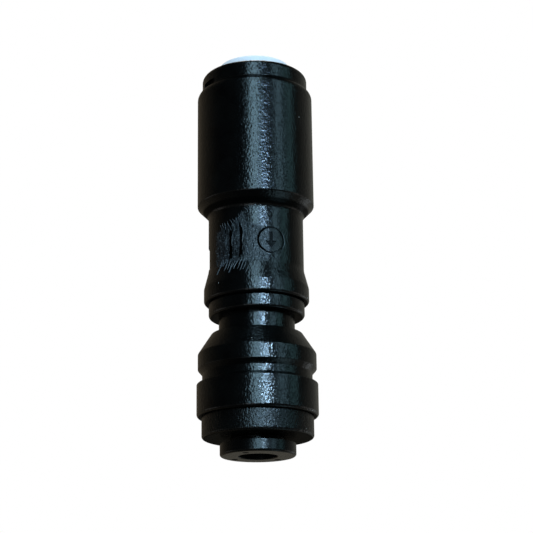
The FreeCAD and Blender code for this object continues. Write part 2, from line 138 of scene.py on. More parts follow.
class Signal:
    """A number that varies over a surface, on which arithmetic adds Math nodes."""

    def __init__(self, graph: Graph, socket: Socket) -> None:
        """Wrap the socket that gives the number."""
        self.graph = graph
        self.socket = socket

    def __add__(self, other: Signal | float) -> Signal:
        """Add a number or another signal."""
        return self.graph.maths("ADD", self, other)

    def __sub__(self, other: Signal | float) -> Signal:
        """Take a number or another signal away."""
        return self.graph.maths("SUBTRACT", self, other)

    def __rsub__(self, other: float) -> Signal:
        """Take this signal away from a number."""
        return self.graph.maths("SUBTRACT", other, self)

    def __mul__(self, other: Signal | float) -> Signal:
        """Multiply by a number or another signal."""
        return self.graph.maths("MULTIPLY", self, other)

    def __truediv__(self, other: Signal | float) -> Signal:
        """Divide by a number or another signal."""
        return self.graph.maths("DIVIDE", self, other)

    def clamped(self) -> Signal:
        """Hold the signal between 0 and 1."""
        return self.graph.maths("MULTIPLY", self, 1.0, clamp=True)

    def at_most(self, other: Signal | float) -> Signal:
        """Give the smaller of this and another signal."""
        return self.graph.maths("MINIMUM", self, other)

    def at_least(self, other: Signal | float) -> Signal:
        """Give the larger of this and another signal."""
        return self.graph.maths("MAXIMUM", self, other)

    def ramped(self, low: float, high: float) -> Signal:
        """Rise from 0 at one value to 1 at another, held outside them.

        Args:
            low: Value that gives 0.
            high: Value that gives 1, which may be the smaller of the two.

        Returns:
            The signal, from 0 to 1.
        """
        return ((self - low) / (high - low)).clamped()


class Graph:
    """The nodes of one material or world."""

    COLOUR_A = 6
    COLOUR_B = 7
    COLOUR_RESULT = 2

    def __init__(self, tree: bpy.types.NodeTree) -> None:
        """Start an empty graph.

        Args:
            tree: Node tree of a material or a world, whose nodes are removed.
        """
        tree.nodes.clear()
        self.tree = tree

    def node(
        self,
        kind: str,
        settings: dict[str, Any] | None = None,
        inputs: dict[str | int, Any] | None = None,
    ) -> bpy.types.Node:
        """Add a node.

        Args:
            kind: Blender's name for the node's type.
            settings: Properties of the node, set first.
            inputs: Values, signals or sockets for its inputs, by name or number.

        Returns:
            The node.
        """
        made = self.tree.nodes.new(kind)
        for name, value in (settings or {}).items():
            setattr(made, name, value)
        for name, value in (inputs or {}).items():
            self.feed(made.inputs[name], value)
        return made

    def feed(self, socket: Socket, value: Any) -> None:
        """Give an input its value.

        Args:
            socket: The input.
            value: A signal or socket to link, or a plain value, a colour among them.
        """
        if isinstance(value, Signal):
            value = value.socket
        if isinstance(value, Socket):
            self.tree.links.new(value, socket)
        elif socket.type == "RGBA" and len(value) == 3:
            socket.default_value = (*value, 1.0)
        else:
            socket.default_value = value

    def maths(self, operation: str, *values: Signal | float, clamp: bool = False) -> Signal:
        """Work out a number with one Math node.

        Args:
            operation: The node's operation.
            values: Its inputs in order.
            clamp: Whether the result is held between 0 and 1.

        Returns:
            The result.
        """
        settings = {"operation": operation, "use_clamp": clamp}
        return self.signal(self.node("ShaderNodeMath", settings, dict(enumerate(values))))

    def signal(self, node: bpy.types.Node, output: str | int = 0) -> Signal:
        """Wrap one output of a node."""
        return Signal(self, node.outputs[output])

    def blend(self, share: Signal | float, first: Any, second: Any) -> Socket:
        """Mix two colours.

        Args:
            share: Share of the second colour.
            first: Colour, or socket that gives one.
            second: Colour, or socket that gives one.

        Returns:
            The socket that gives the mixed colour.
        """
        inputs = {0: share, self.COLOUR_A: first, self.COLOUR_B: second}
        mix = self.node("ShaderNodeMix", {"data_type": "RGBA"}, inputs)
        return mix.outputs[self.COLOUR_RESULT]

    def place(self) -> Socket:
        """Give the place on the object, in the frame's metres."""
        return self.node("ShaderNodeTexCoord").outputs["Object"]

    def axes(self, vector: Socket) -> tuple[Signal, Signal, Signal]:
        """Split a vector into its three numbers."""
        split = self.node("ShaderNodeSeparateXYZ", inputs={0: vector})
        return self.signal(split, 0), self.signal(split, 1), self.signal(split, 2)

    def vector(self, *axes: Signal | float) -> Socket:
        """Join three numbers into a vector."""
        return self.node("ShaderNodeCombineXYZ", inputs=dict(enumerate(axes))).outputs[0]

    def noise(self, place: Socket, size: float, detail: float = 3.0, warp: float = 0.0) -> Signal:
        """Give a cloudy pattern around 0.5.

        Args:
            place: Where the pattern is read.
            size: Size of its lumps, in the units of place.
            detail: Octaves of finer lumps.
            warp: How far the pattern is bent by itself.

        Returns:
            The pattern.
        """
        inputs = {"Vector": place, "Scale": 1.0 / size, "Detail": detail, "Distortion": warp}
        return self.signal(self.node("ShaderNodeTexNoise", inputs=inputs))

    def bump(self, height: Signal, depth: float, under: Any = None) -> Socket:
        """Turn a height into a normal.

        Args:
            height: Height from 0 to 1.
            depth: What a height of 1 stands for, in metres.
            under: Normal of a coarser bump below this one.

        Returns:
            The socket that gives the normal.
        """
        inputs: dict[str, Any] = {"Height": height, "Distance": depth, "Strength": 1.0}
        if under is not None:
            inputs["Normal"] = under
        return self.node("ShaderNodeBump", inputs=inputs).outputs["Normal"]

    def principled(self, inputs: dict[str, Any]) -> Socket:
        """Give the standard surface shader."""
        return self.node("ShaderNodeBsdfPrincipled", inputs=inputs).outputs[0]

    def surface(self, shader: Socket, kind: str = "ShaderNodeOutputMaterial") -> None:
        """Send a shader to the output."""
        self.node(kind, inputs={"Surface": shader})


def new_material(name: str) -> tuple[bpy.types.Material, Graph]:
    """Make an empty material.

    Args:
        name: The material's name.

    Returns:
        The material and its graph.
    """
    material = bpy.data.materials.new(name)
    material.use_nodes = True
    return material, Graph(material.node_tree)


@dataclass(frozen=True)
class Finish:
    """A material, and the record's slot that it belongs to."""

    material: bpy.types.Material
    slot: Slot


@dataclass
class Coat:
    """What a black finish looks like so far, as it is laid on."""

    colour: Socket
    roughness: Signal
    normal: Socket
    # Share of painted shade: how far the finish is mixed towards a dark diffuse.
    shaded: Signal


class Wall:
    """The waist's wall, unrolled.

    Across is counted in metres of wall from the front towards +X, and height from the
    outlet collet's face.
    """

    def __init__(self, graph: Graph, x: Signal, y: Signal, height: Signal) -> None:
        """Unroll the wall.

        Args:
            graph: Graph to add to.
            x: Place along X.
            y: Place along Y.
            height: Height above the outlet collet's face.
        """
        self.graph = graph
        self.height = height
        self.radius = graph.maths("SQRT", x * x + y * y)
        self.across = graph.maths("ARCTAN2", x, y * -1.0) * WAIST_RADIUS
        self.place = graph.vector(self.across, height, 0.0)


@dataclass(frozen=True)
class Crescent:
    """A curved slit that a jaw's tooth has left in the wall, darkened with painted shade.

    It is given by its middle, half its length and width, its bow and its lean.
    """

    across: float
    middle: float
    half_length: float
    half_width: float
    bow: float
    lean: float = 0.0

    EDGE = 0.06 * MM

    def mask(self, wall: Wall) -> Signal:
        """Give 1 in the slit and 0 beside it.

        Args:
            wall: The unrolled wall.

        Returns:
            The mask.
        """
        above = wall.height - self.middle
        along = above / self.half_length
        swell = (1.0 - along * along).at_least(0.0)
        middle = swell * self.bow + above * self.lean + self.across
        aside = wall.graph.maths("ABSOLUTE", wall.across - middle)
        return ((swell * self.half_width - aside) / self.EDGE).clamped()


@dataclass(frozen=True)
class CutShade:
    """Painted shade in the bites and moulded lines sunk below the waist's round wall, and a painted
    shadow line in the corner above it.
    """

    shallow: float = 0.02 * MM
    deep: float = 0.10 * MM
    foot: float = 31.7 * MM
    head: float = 40.9 * MM
    left: float = -5.7 * MM
    edge: float = 0.3 * MM
    mark_width: float = 2.3 * MM
    mark_share: float = 0.45
    # Painted shadow line in the corner under the barrel's chamfer.
    corner_foot: float = 41.05 * MM
    corner_head: float = 42.20 * MM
    corner_edge: float = 0.25 * MM
    corner_share: float = 0.8
    slits: tuple[Crescent, ...] = (
        Crescent(-3.15 * MM, 35.0 * MM, 3.8 * MM, 0.33 * MM, 0.75 * MM),
        Crescent(-4.80 * MM, 34.5 * MM, 3.3 * MM, 0.28 * MM, 0.38 * MM),
        Crescent(-4.45 * MM, 37.6 * MM, 1.3 * MM, 0.18 * MM, 0.06 * MM, -0.33),
        Crescent(-5.60 * MM, 37.0 * MM, 1.1 * MM, 0.14 * MM, 0.05 * MM, -0.30),
        Crescent(-3.75 * MM, 36.9 * MM, 1.3 * MM, 0.08 * MM, 0.06 * MM, -0.25),
        Crescent(-1.60 * MM, 36.6 * MM, 1.6 * MM, 0.07 * MM, 0.20 * MM),
        Crescent(-1.00 * MM, 37.2 * MM, 1.4 * MM, 0.06 * MM, -0.15 * MM),
        Crescent(1.50 * MM, 38.6 * MM, 0.14 * MM, 0.13 * MM, 0.0),
        Crescent(1.05 * MM, 39.7 * MM, 0.10 * MM, 0.22 * MM, 0.0),
        Crescent(2.45 * MM, 39.6 * MM, 1.3 * MM, 0.09 * MM, 0.10 * MM, -0.35),
        Crescent(0.55 * MM, 32.3 * MM, 0.7 * MM, 0.08 * MM, 0.0, 0.25),
        Crescent(1.10 * MM, 32.0 * MM, 0.8 * MM, 0.08 * MM, 0.0, 0.35),
    )

    def mask(self, wall: Wall) -> Signal:
        """Give the share of painted shade: 1 in the cuts and 0 on the wall around them.

        Args:
            wall: The unrolled wall.

        Returns:
            The mask, fainter in the moulded lines from the mark on towards +X.
        """
        # Painted shade where the wall sinks below the waist's radius, fainter in the moulded mark's
        # lines.
        sunk = (WAIST_RADIUS - wall.radius).ramped(self.shallow, self.deep)
        above = (wall.height - self.foot) / self.edge
        below = (self.head - wall.height) / self.edge
        beside = (wall.across - self.left) / self.edge
        inside = above.at_most(below).at_most(beside).clamped()
        mark_left = MARK_ACROSS - self.mark_width / 2
        on_mark = wall.across.ramped(mark_left, mark_left + self.mark_width)
        mask = sunk * inside * (1.0 - on_mark * (1.0 - self.mark_share))
        # A painted shadow line along the corner under the chamfer, all round the waist.
        corner_shadow = ((wall.height - self.corner_foot) / self.corner_edge).at_most(
            (self.corner_head - wall.height) / self.corner_edge
        )
        mask = mask.at_least(corner_shadow.clamped() * self.corner_share)
        # The slits are painted dark, as shade.
        for slit in self.slits:
            mask = mask.at_least(slit.mask(wall))
        return mask


@dataclass(frozen=True)
class Bruise:
    """Patch of the waist that a tool's jaws have crushed, with the cuts they have left, and painted
    shade in the cuts and between its fibres.
    """

    left: float = -8.0 * MM
    right: float = 2.5 * MM
    right_above: float = -1.4 * MM
    narrows: Range = (36.8 * MM, 38.2 * MM)
    foot: float = 30.9 * MM
    head: float = 40.8 * MM
    corner_height: float = 38.5 * MM
    corner_across: float = -3.6 * MM
    top_slope: float = 1.15
    left_slope: float = 0.28
    disc_reach: float = 2.2 * MM
    disc_share: float = 0.6
    ragged: float = 0.9 * MM
    ragged_size: float = 0.8 * MM
    edge: float = 0.5 * MM
    side_edge: float = 1.2 * MM
    fibre_across: float = 0.36 * MM
    fibre_along: float = 1.6 * MM
    fibre_detail: float = 2.0
    fibre_warp: float = 1.8
    fibre_depth: float = 0.08 * MM
    fibre_range: Range = (0.35, 0.65)
    # Painted shade in the troughs between the crushed fibres.
    trough_range: Range = (0.50, 0.36)
    trough_shade: float = 0.75
    crumb: float = 0.26 * MM
    crumb_depth: float = 0.085 * MM
    crumb_range: Range = (0.57, 0.64)
    colour: Colour = (0.007, 0.012, 0.016)
    fleck: Colour = (0.072, 0.096, 0.110)
    roughness: float = 0.36
    cuts: CutShade = CutShade()

    def mask(self, wall: Wall) -> Signal:
        """Give 1 on the crushed patch and 0 off it.

        Args:
            wall: The unrolled wall.

        Returns:
            The mask.
        """
        raggedness = (wall.graph.noise(wall.place, self.ragged_size) - 0.5) * (2 * self.ragged)
        from_corner = wall.across - self.corner_across
        slope = (from_corner * self.top_slope).at_least(from_corner * self.left_slope)
        top = (slope + self.corner_height).at_most(self.head)
        below_top = (top - wall.height + raggedness) / self.edge
        above_foot = (wall.height - self.foot + raggedness) / self.edge
        from_left = (wall.across - self.left + raggedness) / self.edge
        narrowing = self.right_above - self.right
        right = wall.height.ramped(*self.narrows) * narrowing + self.right
        from_right = (right - wall.across + raggedness) / self.side_edge
        return below_top.at_most(above_foot).at_most(from_left).at_most(from_right).clamped()

    def disc(self, wall: Wall) -> Signal:
        """Give how dull the disc inside the moulded mark is.

        Args:
            wall: The unrolled wall.

        Returns:
            The dullness, 0 outside the mark.
        """
        aside = wall.across - MARK_ACROSS
        above = wall.height - MARK_HEIGHT
        from_middle = wall.graph.maths("SQRT", aside * aside + above * above)
        return from_middle.ramped(self.disc_reach, self.disc_reach - self.edge) * self.disc_share

    def lay(self, wall: Wall, coat: Coat, plain_roughness: float) -> None:
        """Lay the patch over a plain coat, with painted shade in the cuts and between the fibres.

        Args:
            wall: The unrolled wall.
            coat: The coat, which is changed.
            plain_roughness: Roughness of the finish around the patch.
        """
        graph = wall.graph
        crushed = self.mask(wall)
        place = graph.vector(wall.across / self.fibre_across, wall.height / self.fibre_along, 0.0)
        fibres = graph.noise(place, 1.0, self.fibre_detail, self.fibre_warp)
        crumbs = graph.noise(wall.place, self.crumb)
        torn = crushed * fibres.ramped(*self.fibre_range)
        coat.colour = graph.blend(torn, coat.colour, self.colour)
        flecks = crushed * crumbs.ramped(*self.crumb_range)
        coat.colour = graph.blend(flecks, coat.colour, self.fleck)
        dull = crushed.at_least(self.disc(wall))
        coat.roughness = coat.roughness + dull * (self.roughness - plain_roughness)
        coat.normal = graph.bump((fibres - 0.5) * crushed, self.fibre_depth, coat.normal)
        coat.normal = graph.bump((crumbs - 0.5) * crushed, self.crumb_depth, coat.normal)
        # Painted shade in the troughs between the fibres, and in the cuts.
        trough_shadow = crushed * fibres.ramped(*self.trough_range) * self.trough_shade
        coat.shaded = coat.shaded.at_least(self.cuts.mask(wall)).at_least(trough_shadow)


@dataclass(frozen=True)
class BlackAcetal:
    """Black moulded acetal with a spark-eroded grain."""

    name: str = "black acetal"
    slot: Slot = Slot.BLACK_ACETAL
    base: Colour = (0.0004, 0.0005, 0.0005)
    bloom: Colour = (0.0015, 0.0018, 0.0017)
    bloom_size: float = 3.0 * MM
    bloom_range: Range = (0.35, 0.75)
    roughness: float = 0.19
    roughness_swing: float = 0.08
    specular: float = 0.5
    pit: float = 0.30 * MM
    pit_stretch: float = 1.4
    pit_detail: float = 1.0
    pit_depth: float = 0.050 * MM
    ripple: float = 1.1 * MM
    ripple_detail: float = 2.0
    ripple_depth: float = 0.03 * MM
    # Top faces take a satin roughness and painted shade, and undersides take painted shade;
    # level_shade and under_shade are the shares of the dark diffuse that is mixed in.
    level_range: Range = (0.90, 0.97)
    level_roughness: float = 0.55
    level_shade: float = 0.5
    under_range: Range = (0.75, 0.95)
    under_shade: float = 0.85
    # Colour of the dark diffuse that stands in for shade: painted shade.
    painted_shade: Colour = (0.0006, 0.0008, 0.0008)
    bruise: Bruise | None = None

    def finish(self) -> Finish:
        """Make the finish.

        Returns:
            The finish, satin and in painted shade on top faces, and in painted shade on undersides.
        """
        material, graph = new_material(self.name)
        place = graph.place()
        x, y, height = graph.axes(place)
        clouds = graph.noise(place, self.bloom_size)
        ripples = graph.noise(place, self.ripple, self.ripple_detail)
        stretched = graph.vector(x, y, height / self.pit_stretch)
        grain = graph.noise(stretched, self.pit, self.pit_detail)
        facing = graph.axes(graph.node("ShaderNodeNewGeometry").outputs["Normal"])[2]
        level = facing.ramped(*self.level_range)
        under = (facing * -1.0).ramped(*self.under_range)
        satin = level * (self.level_roughness - self.roughness)
        coat = Coat(
            colour=graph.blend(clouds.ramped(*self.bloom_range), self.base, self.bloom),
            roughness=(ripples - 0.5) * self.roughness_swing + self.roughness + satin,
            normal=graph.bump(grain, self.pit_depth, graph.bump(ripples, self.ripple_depth)),
            # The shaded share is painted shade, here on top faces and undersides by the way they
            # face.
            shaded=(level * self.level_shade).at_least(under * self.under_shade),
        )
        if self.bruise:
            self.bruise.lay(Wall(graph, x, y, height), coat, self.roughness)
        shader = graph.principled({
            "Base Color": coat.colour,
            "Roughness": coat.roughness,
            "Normal": coat.normal,
            "Specular IOR Level": self.specular,
        })
        # The dark diffuse is painted shade, mixed in by the shaded share.
        painted_shade = graph.node("ShaderNodeBsdfDiffuse", inputs={"Color": self.painted_shade}).outputs[0]
        mixed = graph.node("ShaderNodeMixShader", inputs={0: coat.shaded, 1: shader, 2: painted_shade})
        graph.surface(mixed.outputs[0])
        return Finish(material, self.slot)


@dataclass(frozen=True)
class PaleAcetal:
    """White or natural acetal, slightly waxy, with flow clouds from moulding."""

    name: str
    slot: Slot
    base: Colour
    cloud: Colour
    cloud_size: float = 2.5 * MM
    cloud_warp: float = 0.6
    cloud_range: Range = (0.35, 0.70)
    roughness: float = 0.42
    roughness_swing: float = 0.12
    specular: float = 0.35
    grain: float = 0.35 * MM
    grain_depth: float = 0.004 * MM
    glow: float = 0.12
    glow_reach: Colour = (0.0009, 0.001, 0.0011)

    def finish(self) -> Finish:
        """Make the finish.

        Returns:
            The finish.
        """
        material, graph = new_material(self.name)
        place = graph.place()
        clouds = graph.noise(place, self.cloud_size, warp=self.cloud_warp)
        fine = graph.noise(place, self.grain)
        graph.surface(graph.principled({
            "Base Color": graph.blend(clouds.ramped(*self.cloud_range), self.base, self.cloud),
            "Roughness": (fine - 0.5) * self.roughness_swing + self.roughness,
            "Specular IOR Level": self.specular,
            "Normal": graph.bump(fine, self.grain_depth),
            "Subsurface Weight": self.glow,
            "Subsurface Radius": self.glow_reach,
        }))
        return Finish(material, self.slot)


@dataclass(frozen=True)
class Rubber:
    """Greased nitrile rubber."""

    name: str = "nitrile rubber"
    slot: Slot = Slot.RUBBER
    base: Colour = (0.006, 0.006, 0.0065)
    dust: Colour = (0.018, 0.018, 0.018)
    dust_size: float = 1.5 * MM
    dust_range: Range = (0.4, 0.8)
    roughness: float = 0.5
    roughness_swing: float = 0.3
    grain: float = 0.12 * MM
    grain_depth: float = 0.004 * MM

    def finish(self) -> Finish:
        """Make the finish.

        Returns:
            The finish.
        """
        material, graph = new_material(self.name)
        place = graph.place()
        dust = graph.noise(place, self.dust_size)
        fine = graph.noise(place, self.grain)
        graph.surface(graph.principled({
            "Base Color": graph.blend(dust.ramped(*self.dust_range), self.base, self.dust),
            "Roughness": (dust - 0.5) * self.roughness_swing + self.roughness,
            "Normal": graph.bump(fine, self.grain_depth),
        }))
        return Finish(material, self.slot)


@dataclass(frozen=True)
class Steel:
    """Bright stainless steel with drawing lines."""

    name: str = "stainless steel"
    slot: Slot = Slot.STEEL
    base: Colour = (0.56, 0.57, 0.58)
    dull: Colour = (0.42, 0.42, 0.42)
    roughness: float = 0.24
    roughness_swing: float = 0.2
    line: float = 0.20 * MM
    line_squeeze: float = 6.0
    line_depth: float = 0.002 * MM

    def finish(self) -> Finish:
        """Make the finish.

        Returns:
            The finish.
        """
        material, graph = new_material(self.name)
        x, y, z = graph.axes(graph.place())
        drawn = graph.noise(graph.vector(x, y, z * self.line_squeeze), self.line)
        graph.surface(graph.principled({
            "Base Color": graph.blend(drawn, self.dull, self.base),
            "Metallic": 1.0,
            "Roughness": (drawn - 0.5) * self.roughness_swing + self.roughness,
            "Normal": graph.bump(drawn, self.line_depth),
        }))
        return Finish(material, self.slot)


class Wardrobe:
    """The finishes, each made once."""

    def __init__(self) -> None:
        """Make every finish."""
        self.smooth_black = BlackAcetal().finish()
        self.bruised_black = BlackAcetal("black acetal, bruised", bruise=Bruise()).finish()
        self.grained_black = BlackAcetal(
            "black acetal, coarse grain",
            roughness=0.28, specular=0.40, pit=0.27 * MM, pit_depth=0.085 * MM,
        ).finish()
        self.worn_black = BlackAcetal(
            "black acetal, worn smooth",
            roughness=0.27, specular=0.42, pit_depth=0.02 * MM, under_shade=0.0,
        ).finish()
        self.torn_black = BlackAcetal(
            "black acetal, torn edge", base=(0.033, 0.043, 0.050), bloom=(0.108, 0.132, 0.146),
            bloom_size=0.6 * MM, roughness=0.30, under_shade=0.0,
        ).finish()
        self.white = PaleAcetal(
            "white acetal", Slot.WHITE_ACETAL, base=(0.75, 0.77, 0.81), cloud=(0.80, 0.81, 0.84)
        ).finish()
        self.natural = PaleAcetal(
            "natural acetal", Slot.NATURAL_ACETAL, base=(0.74, 0.74, 0.69), cloud=(0.80, 0.80, 0.76)
        ).finish()
        self.swarf = PaleAcetal(
            "swarf", Slot.NATURAL_ACETAL, base=(0.30, 0.33, 0.33), cloud=(0.42, 0.44, 0.42)
        ).finish()
        self.rubber = Rubber().finish()
        self.steel = Steel().finish()


def dress(nodes: Nodes, finish: Finish, *names: str) -> None:
    """Give frame nodes one finish all over.

    Args:
        nodes: The frame's nodes by name.
        finish: The finish.
        names: Names of the nodes that take it.
    """
    for name in names:
        if not nodes[name].material_slots:
            nodes[name].data.materials.append(finish.material)
        for slot in nodes[name].material_slots:
            slot.material = finish.material
    LOG.info("dressed %s in %s", ", ".join(names), finish.material.name)


def put_in_scene(name: str, data: bpy.types.ID) -> bpy.types.Object:
    """Put a new object in the scene.

    Args:
        name: The object's name.
        data: Its mesh, light or camera.

    Returns:
        The object.
    """
    made = bpy.data.objects.new(name, data)
    bpy.context.scene.collection.objects.link(made)
    return made


def add_piece(name: str, mesh: Mesh, finish: Finish) -> bpy.types.Object:
    """Turn finished mesh code into a piece that stays with the housing.

    Args:
        name: The piece's name.
        mesh: Its mesh, which is freed.
        finish: Its finish.

    Returns:
        The piece.
    """
    bmesh.ops.recalc_face_normals(mesh, faces=mesh.faces)
    data = bpy.data.meshes.new(name)
    mesh.to_mesh(data)
    mesh.free()
    data.shade_smooth()
    data.materials.append(finish.material)
    piece = put_in_scene(name, data)
    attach(piece, HOUSING)
    LOG.info("built %s: %d faces", name, len(data.polygons))
    return piece


def outward(angle: float) -> Vector:
    """Give the level direction away from the axis at an angle in degrees."""
    turn = math.radians(angle)
    return Vector((math.sin(turn), -math.cos(turn), 0.0))


def upward(height: float) -> Vector:
    """Give the vector that points straight up and is as long as a height."""
    return Vector((0.0, 0.0, height))


def between(ends: Range, share: float) -> float:
    """Give the value a share of the way between two ends."""
    return ends[0] + (ends[1] - ends[0]) * share


def loop_around(mesh: Mesh, centre: Vector, away: Vector, radius: float, sides: int) -> Ring:
    """Add a round section that stands upright in the plane of the axis.

    Args:
        mesh: Mesh to add to.
        centre: Middle of the section.
        away: Direction away from the axis.
        radius: Radius of the section.
        sides: Count of its corners.

    Returns:
        Its corners in order.
    """
    ring = []
    for side in range(sides):
        around = math.tau * side / sides
        reach = away * math.cos(around) + upward(math.sin(around))
        ring.append(mesh.verts.new(centre + reach * radius))
    return ring


def join_rings(mesh: Mesh, rings: Sequence[Ring]) -> None:
    """Join sections into a tube that is open at both ends.

    Args:
        mesh: Mesh that holds the sections.
        rings: The sections in order, all with as many corners.
    """
    for before, after in zip(rings, rings[1:]):
        for index in range(len(before)):
            following = (index + 1) % len(before)
            mesh.faces.new((before[index], before[following], after[following], after[index]))


def close_tube(mesh: Mesh, rings: Sequence[Ring]) -> None:
    """Join sections into a tube and close both of its ends.

    Args:
        mesh: Mesh that holds the sections.
        rings: The sections in order, all with as many corners.
    """
    join_rings(mesh, rings)
    mesh.faces.new(rings[0])
    mesh.faces.new(rings[-1])


class Skin:
    """Outer wall of a frame node, found by looking in towards the axis."""

    LOOK_FROM = 30 * MM

    def __init__(self, node: bpy.types.Object) -> None:
        """Index the node's faces.

        Args:
            node: The node's object.
        """
        corners = [vertex.co for vertex in node.data.vertices]
        faces = [tuple(face.vertices) for face in node.data.polygons]
        self.tree = BVHTree.FromPolygons(corners, faces)

    def at(self, angle: float, height: float) -> tuple[Vector, Vector]:
        """Find a place on the wall.

        Args:
            angle: Degrees about the axis from -Y towards +X.
            height: Height above the outlet collet's face.

        Returns:
            The point and the wall's outward normal there.
        """
        away = outward(angle)
        point, normal, _, _ = self.tree.ray_cast(away * self.LOOK_FROM + upward(height), -away)
        return point, normal


@dataclass(frozen=True)
class Ridge:
    """A burr that stands up along a line on a wall.

    Its ends are given by angle and height.
    """

    start: Range
    end: Range
    width: float
    rise: float
    waver: float = 0.4
    steps: int = 10
    bow: float = 0.0

    SINK = 0.03 * MM
    ACROSS = (-1.0, -0.55, 0.0, 0.55, 1.0)
    LEAN = 0.35
    WAVES = 7.0
    BLUNTNESS = 0.6
    SWELL = (0.75, 1.2)

    def build(self, mesh: Mesh, skin: Skin, dice: random.Random) -> None:
        """Add the burr as a closed sliver whose feet are sunk in the wall.

        Args:
            mesh: Mesh to add to.
            skin: The wall that it stands on.
            dice: Source of its unevenness.
        """
        spine = [self._station(skin, step / self.steps) for step in range(self.steps + 1)]
        lean = dice.uniform(-self.LEAN, self.LEAN)
        phase = dice.uniform(0.0, math.tau)
        rings = []
        for step in range(1, self.steps):
            point, normal = spine[step]
            along = (spine[step + 1][0] - spine[step - 1][0]).normalized()
            side = normal.cross(along).normalized()
            share = step / self.steps
            swell = math.sin(math.pi * share) ** self.BLUNTNESS * dice.uniform(*self.SWELL)
            sway = self.waver * self.width * math.sin(phase + share * self.WAVES)
            ring = []
            for across in self.ACROSS:
                lift = self.rise * swell * (1.0 - across * across) - self.SINK * abs(across)
                shift = side * (across * 0.5 * self.width * swell + sway + lean * lift)
                ring.append(mesh.verts.new(point + shift + normal * lift))
            rings.append(ring)
        join_rings(mesh, rings)
        for ring, (point, normal) in ((rings[0], spine[0]), (rings[-1], spine[-1])):
            tip = mesh.verts.new(point - normal * self.SINK)
            for index in range(len(ring)):
                mesh.faces.new((ring[index], ring[(index + 1) % len(ring)], tip))

    def _station(self, skin: Skin, share: float) -> tuple[Vector, Vector]:
        """Find the wall a share of the way along the burr.

        Args:
            skin: The wall.
            share: Share of the way from start to end.

        Returns:
            The point and the wall's outward normal there.
        """
        bulge = 4.0 * share * (1.0 - share) * self.bow
        angle = between((self.start[0], self.end[0]), share) + bulge
        return skin.at(angle, between((self.start[1], self.end[1]), share))


@dataclass(frozen=True)
class Strokes:
    """A row of short burrs, dragged off the wall side by side."""

    angles: Range
    count: int
    drop: float
    lean: float
    width: float
    rise: float
    drop_play: Range = (0.5, 1.2)
    lean_play: Range = (0.5, 1.2)
    waver: float = 0.4
    steps: int = 10

    def shares(self) -> list[float]:
        """Give how far along the row each burr stands."""
        return [number / (self.count - 1) for number in range(self.count)]

    def stroke(self, angle: float, top: float, dice: random.Random) -> Ridge:
        """Draw one burr down from its top.

        Args:
            angle: Degrees about the axis from -Y towards +X.
            top: Height of its top.
            dice: Source of its length and lean.

        Returns:
            The burr.
        """
        drop = self.drop * dice.uniform(*self.drop_play)
        lean = self.lean * dice.uniform(*self.lean_play)
        end = (angle + lean, top - drop)
        return Ridge((angle, top), end, self.width, self.rise, self.waver, self.steps)


